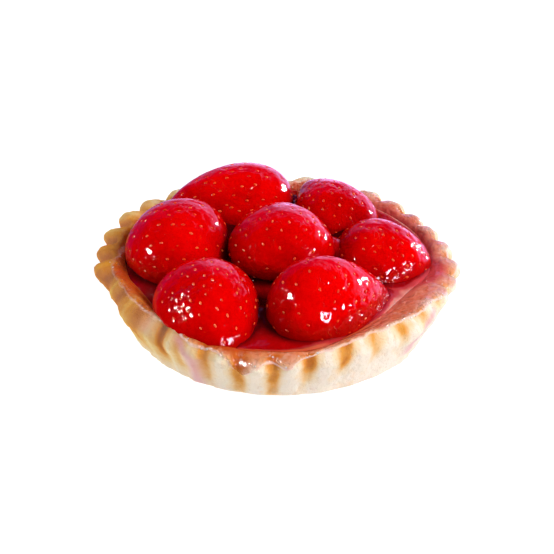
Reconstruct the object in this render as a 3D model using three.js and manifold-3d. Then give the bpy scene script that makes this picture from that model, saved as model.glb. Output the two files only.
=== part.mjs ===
import * as THREE from "three";
import { mergeVertices } from "three/addons/utils/BufferGeometryUtils.js";
import Module from "manifold-3d";

// A small strawberry tart: a fluted shortcrust case, filled to the rim with red jelly,
// and seven strawberries set in it, six round one. Millimetres, +Z up, the front along -Y,
// the origin on the table under the middle of the case.

const wasm = await Module();
wasm.setup();

// The case
const rimRadius = 50.4; // to the crests of the flutes
const baseRadius = 42;
const caseHeight = 16;
const floorThickness = 3.5;
const lipHeight = 14; // where the wall is widest and turns over into the rim
const wallThickness = 5.6; // at the rim, from a crest to the inner edge
const fluteCount = 32;
const fluteDepthAtRim = 2.3;
const fluteDepthAtBase = 0.5;
const firstCrest = THREE.MathUtils.degToRad(5.75);
const stepsPerFlute = 5;
const innerSlope = 0.42; // inwards for each millimetre down the inside
const wallFoot = 11.2; // height where the inside starts to curve in to the floor
const floorRadius = 35.4; // where the inside's foot meets the flat floor
const lipUnevenness = 0.45; // how far one flute's lip stands over or under the next
const crestUnevenness = 0.3;

// The filling
const jellyLevel = 14.6;
const touchGap = 0.35; // between pieces that lie against each other
const hollowRoom = 1.2; // round a berry in the jelly and the crust, whose hollows have fewer faces

// The strawberries
const berryRows = 10; // faces along a berry and round it
const berryColumns = 20;
const lumpiness = 0.018; // how far a berry swells and shrinks round its girth, as a share
const sunkenDepth = 9.5; // from a berry's widest level down
const cutLevel = 6.4; // the flat cut that each berry stands on
const seedLength = 2;
const seedWidth = 1.3;
const seedStandsOut = 0.35;
const seedSpacing = 7.1;
const seedFreeOfJelly = 1.6; // upwards, and over the rim too
const seedFreeOfRim = 1.5;
const seedFreeOfNeighbours = 1.8;

// Where each berry lies, and its size: x, y and z of its widest section, the compass heading
// of its tip in degrees, the tip's rise in degrees, its length, width and height above the
// widest level, and how sharply it tapers to the tip.
const berries = [
  {
    name: "middle",
    at: [0.9, 4.2, 19.2],
    heading: 97,
    rise: -14,
    length: 34.5,
    width: 30,
    height: 12.8,
    taper: 0.62,
  },
  {
    name: "left",
    at: [-28.8, 3.4, 16.4],
    heading: 158,
    rise: -6,
    length: 29.5,
    width: 33,
    height: 15,
    taper: 0.6,
  },
  {
    name: "back_left",
    at: [-15.4, 29.6, 15.4],
    heading: 201,
    rise: 2,
    length: 41,
    width: 24,
    height: 12.6,
    taper: 0.72,
  },
  {
    name: "back_right",
    at: [15.2, 28.4, 15.2],
    heading: 118,
    rise: 9,
    length: 32,
    width: 24.5,
    height: 11.8,
    taper: 0.8,
  },
  {
    name: "right",
    at: [29.8, 3, 15.2],
    heading: 2,
    rise: 2,
    length: 28,
    width: 27,
    height: 12.7,
    taper: 0.66,
  },
  {
    name: "front_right",
    at: [15.4, -22.9, 16],
    heading: 31,
    rise: -3,
    length: 38,
    width: 24,
    height: 15,
    taper: 0.98,
  },
  {
    name: "front_left",
    at: [-18, -26.9, 16.6],
    heading: -68,
    rise: -3,
    length: 32,
    width: 28.4,
    height: 11.5,
    taper: 0.66,
  },
];

// A seeded source of numbers from 0 to 1 (mulberry32).
function randomFrom(seed) {
  let state = seed;
  return () => {
    state = (state + 0x6d2b79f5) | 0;
    let t = Math.imul(state ^ (state >>> 15), 1 | state);
    t = (t + Math.imul(t ^ (t >>> 7), 61 | t)) ^ t;
    return ((t ^ (t >>> 14)) >>> 0) / 4294967296;
  };
}

// A closed skin of rows of points, each row a ring, with a single point below the first and above the last.
function closedSkin(start, rings, end) {
  const columns = rings[0].length;
  const positions = [start, ...rings.flat(), end].flatMap((p) => [p.x, p.y, p.z]);
  const last = 1 + rings.length * columns;
  const index = [];
  for (let c = 0; c < columns; c++) {
    const next = (c + 1) % columns;
    index.push(0, 1 + next, 1 + c);
    for (let r = 0; r + 1 < rings.length; r++) {
      const low = 1 + r * columns;
      const high = low + columns;
      index.push(low + c, low + next, high + next, low + c, high + next, high + c);
    }
    index.push(last, last - columns + c, last - columns + next);
  }
  const geometry = new THREE.BufferGeometry();
  geometry.setAttribute("position", new THREE.Float32BufferAttribute(positions, 3));
  geometry.setIndex(index);
  return geometry;
}

function solidFrom(geometry) {
  const bare = new THREE.BufferGeometry();
  bare.setAttribute("position", geometry.getAttribute("position"));
  if (geometry.index) bare.setIndex(geometry.index);
  const merged = mergeVertices(bare);
  return new wasm.Manifold(
    new wasm.Mesh({
      numProp: 3,
      vertProperties: new Float32Array(merged.attributes.position.array),
      triVerts: new Uint32Array(merged.index.array),
    }),
  );
}

function geometryFrom(solid) {
  const mesh = solid.getMesh();
  const geometry = new THREE.BufferGeometry();
  geometry.setAttribute("position", new THREE.BufferAttribute(mesh.vertProperties, 3));
  geometry.setIndex(new THREE.BufferAttribute(mesh.triVerts, 1));
  return geometry;
}

// The largest of the bodies that a cut leaves.
function largestBody(solid) {
  return solid.decompose().reduce((a, b) => (b.volume() > a.volume() ? b : a));
}

// A flute's shape across its pitch: 1 on the rounded crest, 0 in the sharp crease beside it.
function crestShare(angle) {
  return Math.abs(Math.cos((fluteCount / 2) * (angle - firstCrest)));
}

// The rim's inner edge is thicker than the wall in two places, where dough was folded over.
const thickPlaces = [
  { heading: 222, spread: 17, extra: 2.6 },
  { heading: 324, spread: 15, extra: 3.4 },
];

function extraThickness(angle) {
  return thickPlaces.reduce((sum, place) => {
    const off = Math.abs(((THREE.MathUtils.radToDeg(angle) - place.heading + 540) % 360) - 180);
    return sum + place.extra * Math.exp(-((off / place.spread) ** 2));
  }, 0);
}

// The outside of the wall at a height, on the crests: it flares straight up to the lip.
function outerRadius(height) {
  return baseRadius + (rimRadius - baseRadius) * Math.min(height / lipHeight, 1);
}

// The inside of the wall at a height: it thickens towards the floor.
function innerRadius(height, angle) {
  const down = caseHeight - height;
  return rimRadius - wallThickness - extraThickness(angle) - innerSlope * down;
}

function caseGeometry() {
  const random = randomFrom(11);
  const flutes = Array.from({ length: fluteCount }, () => ({
    lip: lipUnevenness * (2 * random() - 1),
    crest: crestUnevenness * (2 * random() - 1),
  }));
  // Stations from the underside, up the outside, over the rim and down the inside:
  // each gives a radius, a height, and how much of the fluting and of the lip's unevenness it has.
  const outside = [
    { height: 0, inset: 1.3 },
    { height: 0.9, inset: 0.1 },
    { height: 7, inset: 0 },
    { height: lipHeight, inset: 0 },
    { height: 15.3, inset: 0.4 },
  ];
  const rings = outside.map(({ height, inset }) => (angle, flute) => {
    const up = height / caseHeight;
    const depth = fluteDepthAtBase + (fluteDepthAtRim - fluteDepthAtBase) * up;
    return {
      radius: outerRadius(height) - inset - depth * (1 - crestShare(angle)) + flute.crest * up,
      height: height + flute.lip * up * up,
    };
  });
  rings.push(
    (angle, flute) => ({
      radius: rimRadius - 2 - 0.75 * fluteDepthAtRim * (1 - crestShare(angle)) + flute.crest,
      height: caseHeight + flute.lip + 0.25 * crestShare(angle),
    }),
    (angle, flute) => ({
      radius: innerRadius(caseHeight, angle) + 0.9,
      height: caseHeight - 0.1 + 0.6 * flute.lip,
    }),
    (angle) => ({ radius: innerRadius(caseHeight, angle), height: caseHeight - 0.9 }),
    (angle) => ({ radius: innerRadius(wallFoot, angle), height: wallFoot }),
    () => ({ radius: floorRadius + 2.4, height: floorThickness + 1.6 }),
    () => ({ radius: floorRadius, height: floorThickness }),
  );
  const pitch = (2 * Math.PI) / fluteCount;
  const points = rings.map((station) =>
    Array.from({ length: fluteCount * stepsPerFlute }, (_, i) => {
      const number = Math.floor(i / stepsPerFlute);
      const angle = firstCrest + (number - 0.5 + (i % stepsPerFlute) / stepsPerFlute) * pitch;
      const { radius, height } = station(angle, flutes[number]);
      return new THREE.Vector3(radius * Math.cos(angle), radius * Math.sin(angle), height);
    }),
  );
  return closedSkin(new THREE.Vector3(0, 0, 0), points, new THREE.Vector3(0, 0, floorThickness));
}

// The filling before the berries are pressed in. Its top is nearly level, drawn up a little at the rim.
function jellyGeometry() {
  const columns = 48;
  const floor = floorThickness + touchGap;
  const drawnUp = jellyLevel + 0.3;
  const stations = [
    () => ({ radius: floorRadius - 0.6, height: floor }),
    () => ({ radius: floorRadius + 1.7, height: floorThickness + 1.8 }),
    (angle) => ({ radius: innerRadius(wallFoot, angle) - touchGap, height: wallFoot }),
    (angle) => ({ radius: innerRadius(drawnUp, angle) - touchGap, height: drawnUp }),
    (angle) => ({
      radius: innerRadius(jellyLevel, angle) - 3,
      height: jellyLevel + 0.12 * Math.sin(3 * angle) - 0.15,
    }),
  ];
  const rings = stations.map((station) =>
    Array.from({ length: columns }, (_, i) => {
      const angle = (2 * Math.PI * i) / columns;
      const { radius, height } = station(angle);
      return new THREE.Vector3(radius * Math.cos(angle), radius * Math.sin(angle), height);
    }),
  );
  return closedSkin(new THREE.Vector3(0, 0, floor), rings, new THREE.Vector3(0, 0, jellyLevel - 0.2));
}

const stemTaper = 0.46;

// The half width of a berry at u, from -1 at the stem end to 1 at the tip, as a share of its widest.
function berryProfile(u, taper) {
  const shape = (v) => (1 - v) ** taper * (1 + v) ** stemTaper;
  return shape(u) / shape((stemTaper - taper) / (stemTaper + taper));
}

// The berry's own axes: along to the tip, across, and up.
function berryAxes(berry) {
  const heading = THREE.MathUtils.degToRad(berry.heading);
  const rise = THREE.MathUtils.degToRad(berry.rise);
  const along = new THREE.Vector3(
    Math.cos(rise) * Math.cos(heading),
    Math.cos(rise) * Math.sin(heading),
    Math.sin(rise),
  );
  const across = new THREE.Vector3(-Math.sin(heading), Math.cos(heading), 0);
  return { along, across, up: new THREE.Vector3().crossVectors(along, across) };
}

// A point on the berry's skin, grown by an allowance: u runs from stem to tip and turn round the axis.
function berryPoint(berry, u, turn, grown = 0) {
  const { along, across, up } = berryAxes(berry);
  const share = berryProfile(u, berry.taper);
  const lobes = 1 + lumpiness * (Math.sin(3 * turn + berry.heading) + 0.7 * Math.sin(2 * turn - 3 * u));
  const side = Math.sin(turn) > 0 ? berry.height : sunkenDepth;
  return new THREE.Vector3(...berry.at)
    .addScaledVector(along, (berry.length / 2 + grown) * u)
    .addScaledVector(across, (berry.width / 2 + grown) * share * lobes * Math.cos(turn))
    .addScaledVector(up, (side + grown) * share * lobes * Math.sin(turn));
}

// How far a point lies outside a berry, roughly, in millimetres.
function outsideBerry(berry, point) {
  const { along, across, up } = berryAxes(berry);
  const from = point.clone().sub(new THREE.Vector3(...berry.at));
  const u = from.dot(along) / (berry.length / 2);
  const nearEnd = 0.98;
  const beyond = Math.max(Math.abs(u) - nearEnd, 0);
  const share = berryProfile(THREE.MathUtils.clamp(u, -nearEnd, nearEnd), berry.taper);
  const side = from.dot(up) > 0 ? berry.height : sunkenDepth;
  const radius = Math.hypot(from.dot(across) / (berry.width / 2), from.dot(up) / side);
  return ((radius - share) * berry.width) / 2 + (beyond * berry.length) / 2;
}

// The whole berry as rings of faces, closer together towards its ends.
function berryGeometry(berry, rows, columns, grown = 0) {
  const turns = Array.from({ length: columns }, (_, c) => (2 * Math.PI * c) / columns);
  const rings = Array.from({ length: rows }, (_, r) => {
    const u = -Math.cos((Math.PI * (r + 0.8)) / (rows + 0.6));
    return turns.map((turn) => berryPoint(berry, u, turn, grown));
  });
  return closedSkin(berryPoint(berry, -1, 0, grown), rings, berryPoint(berry, 1, 0, grown));
}

// A seed lies along the berry, sunk into it, with only its back standing out.
function seedGeometry(place, outward, along) {
  const across = new THREE.Vector3().crossVectors(outward, along).normalize();
  const forward = new THREE.Vector3().crossVectors(across, outward);
  const basis = new THREE.Matrix4().makeBasis(forward, across, outward).setPosition(
    place.clone().addScaledVector(outward, seedStandsOut - seedWidth / 2),
  );
  return new THREE.IcosahedronGeometry(0.5, 0).scale(seedLength, seedWidth, seedWidth).applyMatrix4(basis);
}

// Seeds in staggered rings round the berry's axis, on what shows above the jelly, clear of the neighbours.
function berrySeeds(berry, neighbours) {
  const { along } = berryAxes(berry);
  const random = randomFrom(Math.round(1000 + berry.heading));
  const seeds = [];
  const lengthOverTheBack = 1.15 * berry.length;
  const rings = Math.round(lengthOverTheBack / seedSpacing);
  for (let ring = 0; ring < rings; ring++) {
    const u = -Math.cos((Math.PI * (ring + 0.75)) / (rings + 0.5));
    const acrossAndUp = (berry.width + berry.height + sunkenDepth) / 2;
    const girth = Math.PI * berryProfile(u, berry.taper) * acrossAndUp;
    const count = Math.max(4, Math.round(girth / seedSpacing));
    for (let i = 0; i < count; i++) {
      const turn = (2 * Math.PI * (i + (ring % 2) / 2 + 0.25 * (random() - 0.5))) / count;
      const place = berryPoint(berry, u, turn);
      const nudge = 0.02;
      const sideways = berryPoint(berry, u, turn + nudge).sub(place);
      const onward = berryPoint(berry, Math.min(u + nudge, 0.999), turn).sub(place);
      const outward = new THREE.Vector3().crossVectors(sideways, onward).normalize();
      const clear = neighbours.every((other) => outsideBerry(other, place) > seedFreeOfNeighbours);
      const inward = innerRadius(caseHeight, Math.atan2(place.y, place.x)) - Math.hypot(place.x, place.y);
      const lowest = (inward < seedFreeOfRim ? caseHeight : jellyLevel) + seedFreeOfJelly;
      if (place.z > lowest && clear) seeds.push(solidFrom(seedGeometry(place, outward, along)));
    }
  }
  return seeds;
}

// Everything under the cut that a berry stands on.
function underCut() {
  const size = 3 * rimRadius;
  return solidFrom(new THREE.BoxGeometry(size, size, size).translate(0, 0, cutLevel - size / 2));
}

// Berries that touch are flattened against each other: each is cut by those before it, grown by the gap.
function berrySolid(number) {
  const berry = berries[number];
  const others = berries.filter((other) => other !== berry);
  let body = solidFrom(berryGeometry(berry, berryRows, berryColumns)).subtract(underCut());
  for (const before of berries.slice(0, number))
    body = body.subtract(solidFrom(berryGeometry(before, berryRows, berryColumns, touchGap)));
  body = largestBody(body);
  return largestBody(berrySeeds(berry, others).reduce((whole, seed) => whole.add(seed), body));
}

const crustFinish = new THREE.MeshStandardMaterial({ color: 0xd9a566, roughness: 0.8, metalness: 0 });
const jellyFinish = new THREE.MeshStandardMaterial({ color: 0xa5080c, roughness: 0.15, metalness: 0 });
const berryFinish = new THREE.MeshStandardMaterial({ color: 0xd80b0b, roughness: 0.2, metalness: 0 });

function named(name, solid, material) {
  const mesh = new THREE.Mesh(geometryFrom(solid), material);
  mesh.name = name;
  return mesh;
}

const tart = new THREE.Group();
const hollows = berries.map((berry) => solidFrom(berryGeometry(berry, 7, 14, hollowRoom)));
const press = (solid) => largestBody(hollows.reduce((left, hollow) => left.subtract(hollow), solid));
tart.add(named("crust", press(solidFrom(caseGeometry())), crustFinish));
tart.add(named("jelly", press(solidFrom(jellyGeometry())), jellyFinish));
berries.forEach((berry, i) => tart.add(named(`strawberry_${berry.name}`, berrySolid(i), berryFinish)));

export default tart;
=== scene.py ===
import math
import random

import bmesh
import bpy
import numpy as np
from mathutils import Matrix, Vector, noise
from mathutils.bvhtree import BVHTree


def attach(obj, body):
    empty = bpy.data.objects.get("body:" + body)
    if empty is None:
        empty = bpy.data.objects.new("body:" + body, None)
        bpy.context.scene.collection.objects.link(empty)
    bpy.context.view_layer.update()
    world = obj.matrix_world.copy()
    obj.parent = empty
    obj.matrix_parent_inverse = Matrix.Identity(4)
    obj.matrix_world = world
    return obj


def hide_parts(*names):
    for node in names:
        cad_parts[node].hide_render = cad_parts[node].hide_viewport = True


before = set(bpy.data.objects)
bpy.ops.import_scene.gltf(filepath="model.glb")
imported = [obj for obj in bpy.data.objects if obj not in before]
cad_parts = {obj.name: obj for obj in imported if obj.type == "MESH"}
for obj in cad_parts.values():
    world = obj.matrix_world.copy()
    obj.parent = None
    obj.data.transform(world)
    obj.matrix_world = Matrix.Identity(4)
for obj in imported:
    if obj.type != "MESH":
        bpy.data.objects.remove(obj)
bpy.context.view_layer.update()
scene = bpy.context.scene

mm = 0.001  # shapes are worked out in millimetres and become metres when a piece is made
perMm = 1000  # texture scales: features for each millimetre


def colour(code):
    # "rrggbb" as it shows on screen, turned into the linear colour that shaders take
    parts = [int(code[i:i + 2], 16) / 255 for i in (0, 2, 4)]
    return [c / 12.92 if c <= 0.04045 else ((c + 0.055) / 1.055) ** 2.4 for c in parts] + [1.0]


def plug(tree, socket, value):
    # A link where the value is another node's output, otherwise a plain number or colour.
    if isinstance(value, Value):
        value = value.socket
    if hasattr(value, "is_output"):
        tree.links.new(value, socket)
    else:
        socket.default_value = colour(value) if isinstance(value, str) else value


class Value:
    # A number that varies over a surface; arithmetic on it adds Math nodes.
    def __init__(self, tree, socket):
        self.tree = tree
        self.socket = socket

    def math(self, operation, *inputs):
        node = self.tree.nodes.new("ShaderNodeMath")
        node.operation = operation
        for socket, value in zip(node.inputs, inputs):
            plug(self.tree, socket, value)
        return Value(self.tree, node.outputs[0])

    def __add__(self, other):
        return self.math("ADD", self, other)

    def __sub__(self, other):
        return self.math("SUBTRACT", self, other)

    def __rsub__(self, other):
        return self.math("SUBTRACT", other, self)

    def __mul__(self, other):
        return self.math("MULTIPLY", self, other)

    __radd__ = __add__
    __rmul__ = __mul__


class Finish:
    # Builds one material, or the world's light, node by node.
    def __init__(self, name, tree=None):
        if tree is None:
            self.material = bpy.data.materials.new(name)
            self.material.use_nodes = True
            tree = self.material.node_tree
        self.tree = tree
        self.tree.nodes.clear()
        coordinates = self.node("ShaderNodeTexCoord")
        self.place, self.generated = coordinates.outputs["Object"], coordinates.outputs["Generated"]

    def node(self, kind, settings=None, inputs=None):
        made = self.tree.nodes.new(kind)
        for key, value in (settings or {}).items():
            if key == "stops":
                ramp = made.color_ramp
                while len(ramp.elements) < len(value):
                    ramp.elements.new(0.5)
                for element, (position, shade) in zip(ramp.elements, value):
                    element.position = position
                    element.color = colour(shade)
            else:
                setattr(made, key, value)
        for key, value in (inputs or {}).items():
            plug(self.tree, made.inputs[key], value)
        return made

    def attributes(self, *names):
        # what was painted on the mesh
        nodes = [self.node("ShaderNodeAttribute", {"attribute_name": name}) for name in names]
        return [Value(self.tree, node.outputs["Fac"]) for node in nodes]

    def axes(self, vector):
        apart = self.node("ShaderNodeSeparateXYZ", inputs={"Vector": vector})
        return [Value(self.tree, apart.outputs[axis]) for axis in "XYZ"]

    def noise(self, perMillimetre, detail, roughness, distortion=0.0):
        made = self.node("ShaderNodeTexNoise", inputs={
            "Vector": self.place, "Scale": perMillimetre * perMm, "Detail": detail,
            "Roughness": roughness, "Distortion": distortion})
        return Value(self.tree, made.outputs["Fac"])

    def cells(self, perMillimetre):
        made = self.node("ShaderNodeTexVoronoi", inputs={
            "Vector": self.place, "Scale": perMillimetre * perMm})
        return Value(self.tree, made.outputs["Distance"])

    def step(self, value, low, high):
        # 0 at low, 1 at high, smooth between
        made = self.node("ShaderNodeMapRange", {"interpolation_type": "SMOOTHSTEP"}, {
            "Value": value, "From Min": low, "From Max": high})
        return Value(self.tree, made.outputs[0])

    def band(self, value, outerLow, low, high, outerHigh):
        # 1 from low to high, 0 beyond the outer values
        return self.step(value, outerLow, low) * (1 - self.step(value, high, outerHigh))

    def ramp(self, value, stops):
        return self.node("ShaderNodeValToRGB", {"stops": stops}, {"Fac": value}).outputs["Color"]

    def mix(self, share, first, second, blend="MIX"):
        made = self.node("ShaderNodeMix", {"data_type": "RGBA", "blend_type": blend}, {
            0: share, 6: first, 7: second})
        return made.outputs[2]

    def bump(self, height, depth, under=None):
        # depth in millimetres for a height of 1
        inputs = {"Height": height, "Distance": depth * mm}
        if under is not None:
            inputs["Normal"] = under
        return self.node("ShaderNodeBump", inputs=inputs).outputs["Normal"]

    def surface(self, inputs):
        shader = self.node("ShaderNodeBsdfPrincipled", inputs=inputs)
        self.node("ShaderNodeOutputMaterial", inputs={"Surface": shader.outputs[0]})
        return self.material


def seededNumbers(seed):
    # Numbers from 0 to 1, the same each run: the case's flutes take theirs from here.
    state = seed
    wrap = 0xFFFFFFFF
    while True:
        state = (state + 0x6D2B79F5) & wrap
        t = ((state ^ (state >> 15)) * (1 | state)) & wrap
        t = (t + ((t ^ (t >> 7)) * (61 | t) & wrap)) & wrap ^ t
        yield (t ^ (t >> 14)) / (wrap + 1)


def vertexRows(mesh, kind):
    flat = np.empty(3 * len(mesh.vertices))
    mesh.vertices.foreach_get(kind, flat)
    return flat.reshape(-1, 3)


def pointsOf(mesh):
    return vertexRows(mesh, "co")


def normalsOf(mesh):
    return vertexRows(mesh, "normal")


def movePoints(mesh, points):
    mesh.vertices.foreach_set("co", np.ascontiguousarray(points, dtype=np.float32).ravel())
    mesh.update()


def paint(mesh, name, values):
    attribute = mesh.attributes.new(name, "FLOAT", "POINT")
    attribute.data.foreach_set("value", np.asarray(values, dtype=np.float32))


def painted(mesh, name):
    values = np.empty(len(mesh.vertices))
    mesh.attributes[name].data.foreach_get("value", values)
    return values


def lumps(points, layers):
    # Smooth noise in layers: the size of each one's features and its height, in millimetres, and its seed.
    total = 0
    for size, height, seed in layers:
        offset = Vector((seed * 17.3, seed * 7.9, seed * 3.1))
        total = total + height * np.array([noise.noise(Vector(p) / size + offset) for p in points])
    return total


def smoothStep(values, low, high):
    t = np.clip((values - low) / (high - low), 0, 1)
    return t * t * (3 - 2 * t)


def bell(distance, width):
    return np.exp(-(distance / width) ** 2)


def around(degrees, heading, spread):
    # 1 at a heading, fading out on both sides of it
    return bell((degrees - heading + 180) % 360 - 180, spread)


def rolled(radius, angle, height):
    return np.column_stack([radius * np.cos(angle), radius * np.sin(angle), height])


def meshFrom(bm, name):
    mesh = bpy.data.meshes.new(name)
    bm.to_mesh(mesh)
    bm.free()
    mesh.shade_smooth()
    return mesh


def makePiece(mesh, name, finish, replaced=()):
    # The mesh goes from millimetres to metres, and the piece joins the tart's one body.
    mesh.transform(Matrix.Scale(mm, 4))
    mesh.update()
    mesh.materials.append(finish)
    piece = bpy.data.objects.new(name, mesh)
    scene.collection.objects.link(piece)
    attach(piece, "root")
    if replaced:
        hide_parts(*replaced)


def rolledSheet(columns, rows, placed, name):
    # A grid rolled round the upright axis or a piece's own: placed(turn, along) says where its points go,
    # for a turn in radians and along from 0 to 1. The seam and the two poles are closed.
    closeBy = 1e-4
    bm = bmesh.new()
    bmesh.ops.create_grid(bm, x_segments=columns, y_segments=rows, size=0.5)
    mesh = meshFrom(bm, name)
    flat = pointsOf(mesh) + 0.5
    turn, along = flat[:, 0] * math.tau, flat[:, 1]
    movePoints(mesh, placed(turn, along))
    paint(mesh, "turn", turn)
    paint(mesh, "along", along)
    bm = bmesh.new()
    bm.from_mesh(mesh)
    bmesh.ops.remove_doubles(bm, verts=bm.verts, dist=closeBy)
    bmesh.ops.recalc_face_normals(bm, faces=bm.faces)
    bm.to_mesh(mesh)
    bm.free()
    return mesh, painted(mesh, "turn"), painted(mesh, "along")


caseShape = {
    "rimRadius": 50.6,  # to the crests
    "baseRadius": 42.3,
    "height": 16.5,
    "floor": 3.5,
    "lipHeight": 13.6,
    "rimLine": 46.8,  # the rim is rounded on the outside, and its top lies here
    "innerEdge": 43.0,  # where it meets the jelly
    "wall": [(0, 0.6), (0.7, 0), (4, 0), (7, 0), (10, 0), (12, 0.05)],  # heights, and how far set in
    "rimTurns": (25, 45, 65, 90),  # degrees round the rim
    "rimSlope": [(0.3, 16.35), (0.6, 15.9), (0.85, 15.4), (1, 14.9)],  # share of the way in, and height
    "inside": [(41.4, 11.2, 1), (36, 5.1, 0.3), (35.4, 3.5, 0)],  # radius, height, share of the edge's moves
    "shown": (1, 15),  # the stations between which it shows
    "flutes": 32,
    "depthAtRim": 2.4,
    "depthAtBase": 0.4,
    "creaseSoftness": 0.18,
    "grooveDrop": 1.0,  # the flutes go on over the rim
    "firstCrest": math.radians(5.75),
    "bow": 0.4,  # the outside curves in a little on its way up
    "leanFrom": 7,  # where the rim's top lies far in, the outside leans in above this height, by this share
    "leanShare": 0.35,
    "lipUnevenness": 0.45,
    "crestUnevenness": 0.3,
    "columnsPerFlute": 26,
    "rowSpacing": 0.36,  # on what shows
    "hiddenSpacing": 5.0,
    "softness": 0.9,  # how far the profile's corners are rounded
}

# by heading, in degrees: the radius of the rim's top, how much it rises and the radius of its inner edge;
# how far the rim's and the foot's outlines are off and the flutes are turned; how deep and how dark the
# flutes are, and how far down they are dark
caseRound = {
    "rimLine": [
        (10, 47.3), (60, 46.8), (160, 46.5), (180, 46.6), (188, 46), (194, 45.6), (204, 44.9), (213, 44.4),
        (222, 44.8), (232, 44.6), (237, 45.2), (243, 46.5), (250, 47), (258, 46), (266, 45.8), (275, 46.8),
        (284, 46.8), (290, 46.5), (296, 45.9), (306, 44.8), (314, 45.2), (323, 45.6), (332, 45.6),
        (345, 46.6)],
    "rimRise": [
        (72, 0), (86, 0.7), (100, 0), (190, 0), (200, 1.1), (210, 1.5), (236, 1.4), (243, 0.6), (250, 0.3),
        (285, 0.4), (291, 1.1), (300, 1.5), (318, 1.5), (330, 0.8), (345, 0)],
    "innerEdge": [
        (15, 45), (60, 44.8), (150, 44.8), (166, 44.6), (174, 43.6), (184, 42.3), (192, 41.8), (203, 40),
        (215, 40.4), (224, 40.4), (231, 39.8), (239, 42.4), (247, 44.4), (254, 44.4), (265, 43.2),
        (275, 43.2), (283, 42.9), (291, 41.4), (298, 39.9), (307, 38.4), (318, 37.5), (328, 37.2),
        (334, 37.3), (342, 38.3), (349, 40), (358, 43)],
    "rimShift": [
        (0, 1.7), (6, 2.1), (12, 1.0), (22, 0.5), (35, 1.2), (50, 2), (63, 2.2), (88, 2), (110, 1),
        (127, 2.1), (150, 2.4), (165, 2.1), (184, 1.2), (188, 0), (193, -1.7), (199, -2.5), (204, -2.2),
        (210, -1.2), (218, -0.7), (230, -1), (242, -0.1), (268, 0), (282, -1.4), (295, -2.5), (310, -2.5),
        (322, -1.6), (337, -1.1), (350, -0.5)],
    "footShift": [
        (195, 0), (218, 0.2), (235, 1.3), (250, 2.1), (290, 1.8), (318, 1.9), (335, 0.8), (350, 0)],
    "fluteTurn": [
        (1, -4.2), (8, -4), (18, -3.8), (30, -5.3), (55, -5.8), (90, -4), (130, -1.5), (150, -0.8),
        (185, 0), (205, 3), (222, 6), (230, 7.5), (238, 3.2), (246, 0), (284, 0), (296, 1.3), (320, 1.5),
        (340, 0), (348, 0), (355, -2)],
    "fluting": [
        (10, 1), (60, 1.1), (150, 1.2), (180, 1.1), (190, 0.6), (200, 0.25), (222, 0.3), (231, 0.5),
        (237, 0.25), (243, 0.3), (248, 0.65), (262, 0.85), (280, 0.65), (291, 0.45), (300, 0.35),
        (312, 0.3), (326, 0.25), (340, 0.4), (352, 0.8)],
    "browning": [
        (10, 0.5), (60, 0.6), (150, 0.6), (185, 0.3), (205, 0.25), (222, 0.35), (231, 1.1), (235, 0.8),
        (239, 0.15), (244, 0.2), (248, 0.6), (258, 0.82), (270, 0.86), (282, 0.78), (293, 0.95), (304, 0.7),
        (315, 0.55), (327, 0.35), (340, 0.3), (352, 0.5)],
    "brownTo": [
        (0, 4), (215, 4), (229, 8.5), (240, 2), (259, -2), (270, -6), (275, -4), (280, 4), (284, 6),
        (288, 6), (294, 8), (302, 9.5), (330, 10)],
    # how far the glaze runs out and down from the rim's top, and the red juice from its inner edge
    "glazeEdge": [
        (10, 2.6), (60, 2), (100, -2), (150, -4), (178, -2), (188, 0.6), (204, 1.4), (218, 1.6), (228, 1.2),
        (236, 1.4), (243, 2.5), (250, 1.8), (254, 3.4), (257, 5.4), (260, 8.8), (263, 6.8), (266, 4.6),
        (268.5, 2.8), (271.5, 3.6), (274, 5.6), (276.5, 4.2), (280, 1.6), (290, 0.8), (320, 0.8),
        (335, 1.8), (345, 2.9), (355, 3.8)],
    "juiceEdge": [(2, 2.6), (7, 0.9), (60, 0.9), (120, 0.3), (184, 0.8), (190, 3), (205, 2.8), (215, 1.8),
                  (228, 0.8), (236, 1), (241, 3), (254, 3.4), (259, 2.6), (266, 2), (280, 1.4), (290, 0.8),
                  (298, 0.6), (335, 0.6), (343, 2), (350, 4.4), (357, 5)],
}

# what each station of the profile holds: radius, height, how deep the flutes are and how far they drop, and
# its share of the lips' and the crests' unevenness and of four of the tables above
stationParts = [
    "radius", "height", "depth", "drop", "lip", "crest", "rimLine", "innerEdge", "rimShift", "footShift"]


def byHeading(angle, table, soft=3.0):
    # A value for each heading, from a table that closes on itself, with its corners rounded.
    headings, values = np.array(table, dtype=float).T
    degrees = np.degrees(angle)
    weights = {-1: 1, -0.5: 2, 0: 3, 0.5: 2, 1: 1}
    total = 0
    for step, weight in weights.items():
        nearby = np.interp(degrees + step * soft, headings, values, period=360)
        total = total + weight / sum(weights.values()) * nearby
    return total


def fluteAngle(angle):
    # the angle that the flutes go by: some stand a little aside
    return angle - np.radians(byHeading(angle, caseRound["fluteTurn"])) - caseShape["firstCrest"]


def crestShare(angle):
    return np.abs(np.cos(caseShape["flutes"] / 2 * fluteAngle(angle)))


def softCrest(angle):
    share, soft = crestShare(angle), caseShape["creaseSoftness"]
    return (np.sqrt(share ** 2 + soft ** 2) - soft) / (math.sqrt(1 + soft ** 2) - soft)


def innerEdge(angle):
    return byHeading(angle, caseRound["innerEdge"])


def station(radius, height, **others):
    return [radius, height] + [others.get(part, 0) for part in stationParts[2:]]


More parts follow.
